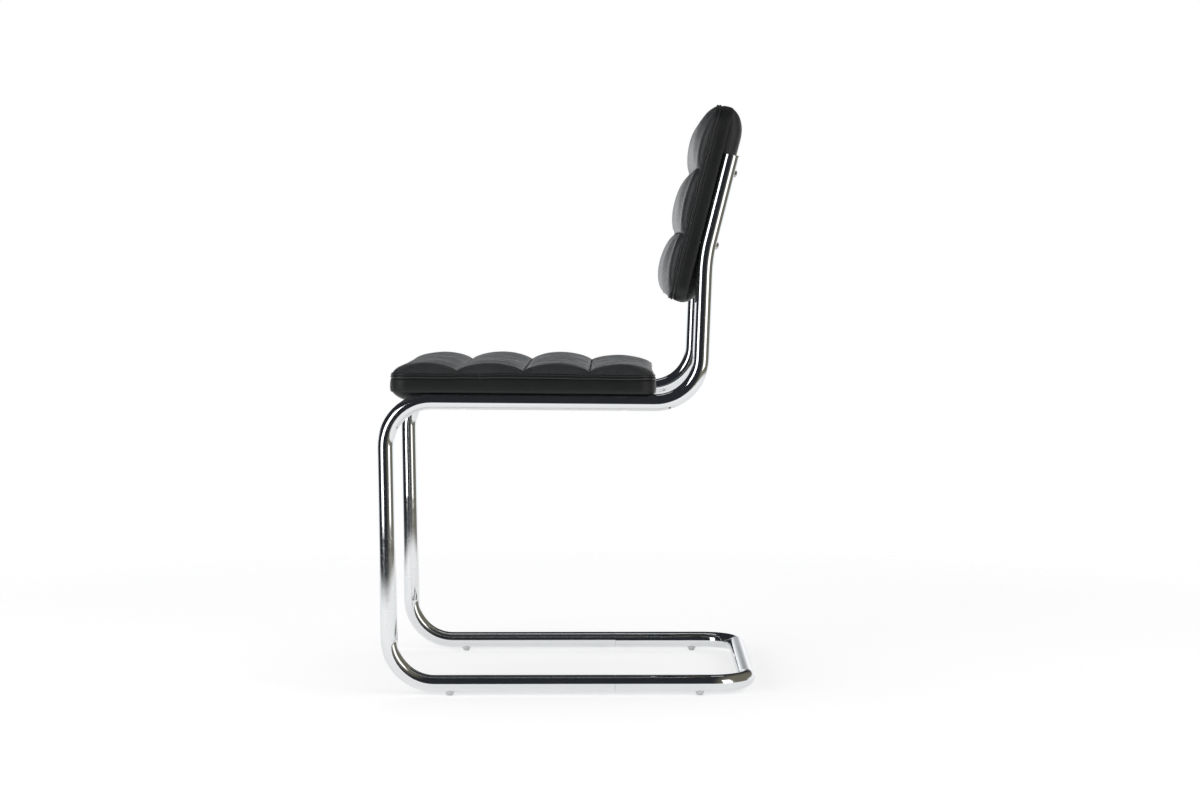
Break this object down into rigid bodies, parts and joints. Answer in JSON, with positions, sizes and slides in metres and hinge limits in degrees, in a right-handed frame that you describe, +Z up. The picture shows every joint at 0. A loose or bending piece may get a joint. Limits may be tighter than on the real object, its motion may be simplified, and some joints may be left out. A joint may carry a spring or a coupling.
{
  "type": "cantilever chair",
  "caption": "Cantilever side chair with a chromed bent-tube frame, a channelled leather seat pad and a matching back pad",
  "frame": {"origin": "on the floor, at the middle of the chair's length and width", "axes": "+Z up, the sitter faces -X, and the sitter's left side is at -Y"},
  "size_m": [0.556, 0.452, 0.8641],
  "materials": {
    "chrome_tube": "polished chrome plate",
    "chrome_cap": "polished chrome plate",
    "glide_plastic": "milky translucent nylon",
    "sleeve_steel": "bright drawn steel",
    "screw_nickel": "nickel plated",
    "nut_zinc": "zinc plated",
    "plywood": "raw birch plywood",
    "foam": "cut upholstery foam",
    "piping_leather": "semi-gloss black leather over cord",
    "top_leather": "semi-gloss black leather",
    "side_leather": "semi-gloss black leather",
    "under_leather": "semi-gloss black leather"
  },
  "bodies": {
    "root": {"back_board": "plywood", "back_boxing": "side_leather", "back_foam": "foam", "back_piping": "piping_leather", "back_screws": "screw_nickel", "back_tee_nuts": "nut_zinc", "back_top_cover": "top_leather", "back_underside_cover": "under_leather", "back_underside_foam": "foam", "front_left_glide": "glide_plastic", "front_right_glide": "glide_plastic", "joint_screws": "screw_nickel", "left_joint_sleeve": "sleeve_steel", "left_side_tube": "chrome_tube", "left_tube_end_cap": "chrome_cap", "rear_base_tube": "chrome_tube", "rear_left_glide": "glide_plastic", "rear_right_glide": "glide_plastic", "right_joint_sleeve": "sleeve_steel", "right_side_tube": "chrome_tube", "right_tube_end_cap": "chrome_cap", "seat_board": "plywood", "seat_boxing": "side_leather", "seat_foam": "foam", "seat_piping": "piping_leather", "seat_screws": "screw_nickel", "seat_tee_nuts": "nut_zinc", "seat_top_cover": "top_leather", "seat_underside_cover": "under_leather", "seat_underside_foam": "foam"}
  },
  "joints": []
}
